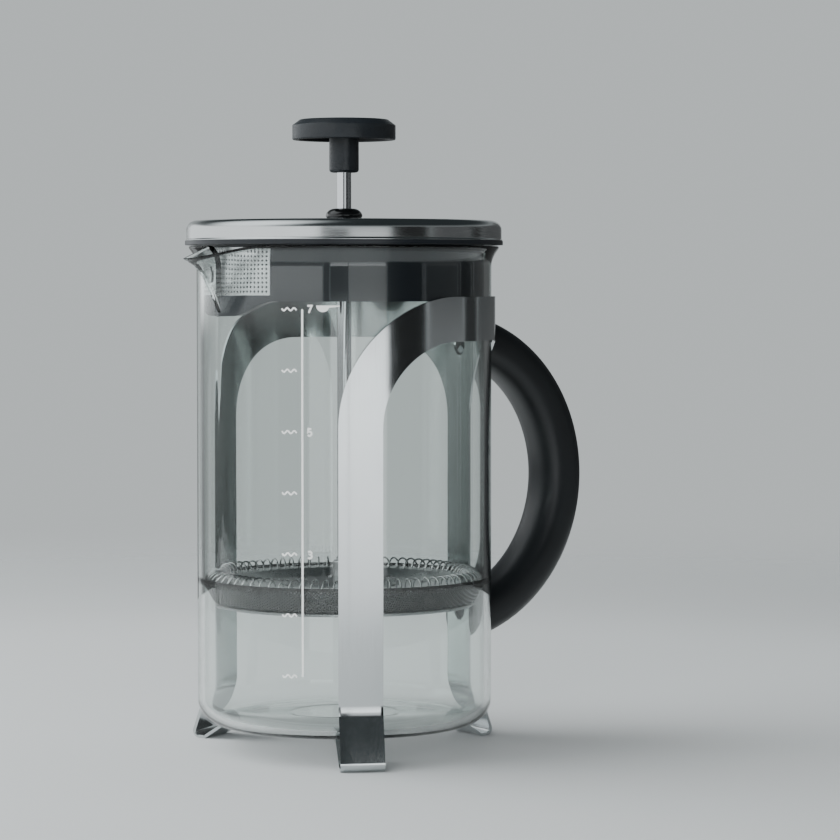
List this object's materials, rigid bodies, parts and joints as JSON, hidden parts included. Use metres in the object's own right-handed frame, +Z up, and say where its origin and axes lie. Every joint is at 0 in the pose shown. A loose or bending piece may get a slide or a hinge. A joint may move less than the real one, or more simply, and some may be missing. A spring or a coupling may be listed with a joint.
{
  "type": "french press",
  "caption": "Glass coffee press in a bent steel strip stand, with a D handle, a steel lid with a pour strainer, and a plunger with a sprung mesh filter.",
  "frame": {"origin": "on the beaker's axis at table level, between the three feet", "axes": "+Z up, handle at +X, spout at -X"},
  "size_m": [0.1551, 0.1054, 0.2063],
  "materials": {
    "polished_steel": "polished strip with faint rolling lines",
    "handle_plastic": "satin moulded",
    "brass": "turned",
    "fastener_steel": "turned and plated",
    "glass": "clear blown borosilicate",
    "brushed_steel": "brushed around",
    "lid_plastic": "satin moulded",
    "strainer_steel": "perforated sheet",
    "gloss_black": "polished moulded",
    "rod_chrome": "drawn and polished",
    "knob_plastic": "finely grained",
    "plate_steel": "stamped sheet",
    "coil_steel": "drawn wire",
    "mesh_steel": "woven wire"
  },
  "bodies": {
    "stand": {"stand_frame": "polished_steel", "handle": "handle_plastic", "handle_inserts": "brass", "handle_screws": "fastener_steel"},
    "beaker": {"beaker": "glass"},
    "lid_guide": {"lid_bush": "gloss_black", "bush_washer": "fastener_steel", "bush_nut": "lid_plastic"},
    "lid": {"lid_cap": "brushed_steel", "lid_insert": "lid_plastic", "pour_strainer": "strainer_steel"},
    "plunger": {"plunger_rod": "rod_chrome", "knob": "knob_plastic", "knob_insert": "brass", "rod_collar": "rod_chrome", "lock_washer": "fastener_steel", "spiral_plate": "plate_steel", "edge_coil": "coil_steel", "mesh_screen": "mesh_steel", "cross_plate": "plate_steel", "cross_boss": "fastener_steel"}
  },
  "joints": [
    {"name": "beaker_lift", "type": "slide", "parent": "stand", "child": "beaker", "axis": [0, 0, 1], "range_m": [0, 0.16]},
    {"name": "lid_lift", "type": "slide", "parent": "beaker", "child": "lid_guide", "axis": [0, 0, 1], "range_m": [0, 0.14]},
    {"name": "lid_turn", "type": "hinge", "parent": "lid_guide", "child": "lid", "pos_m": [0, 0, 0.17], "axis": [0, 0, 1], "continuous": true},
    {"name": "plunger_press", "type": "slide", "parent": "lid_guide", "child": "plunger", "axis": [0, 0, 1], "range_m": [-0.0115, 0.082]}
  ]
}
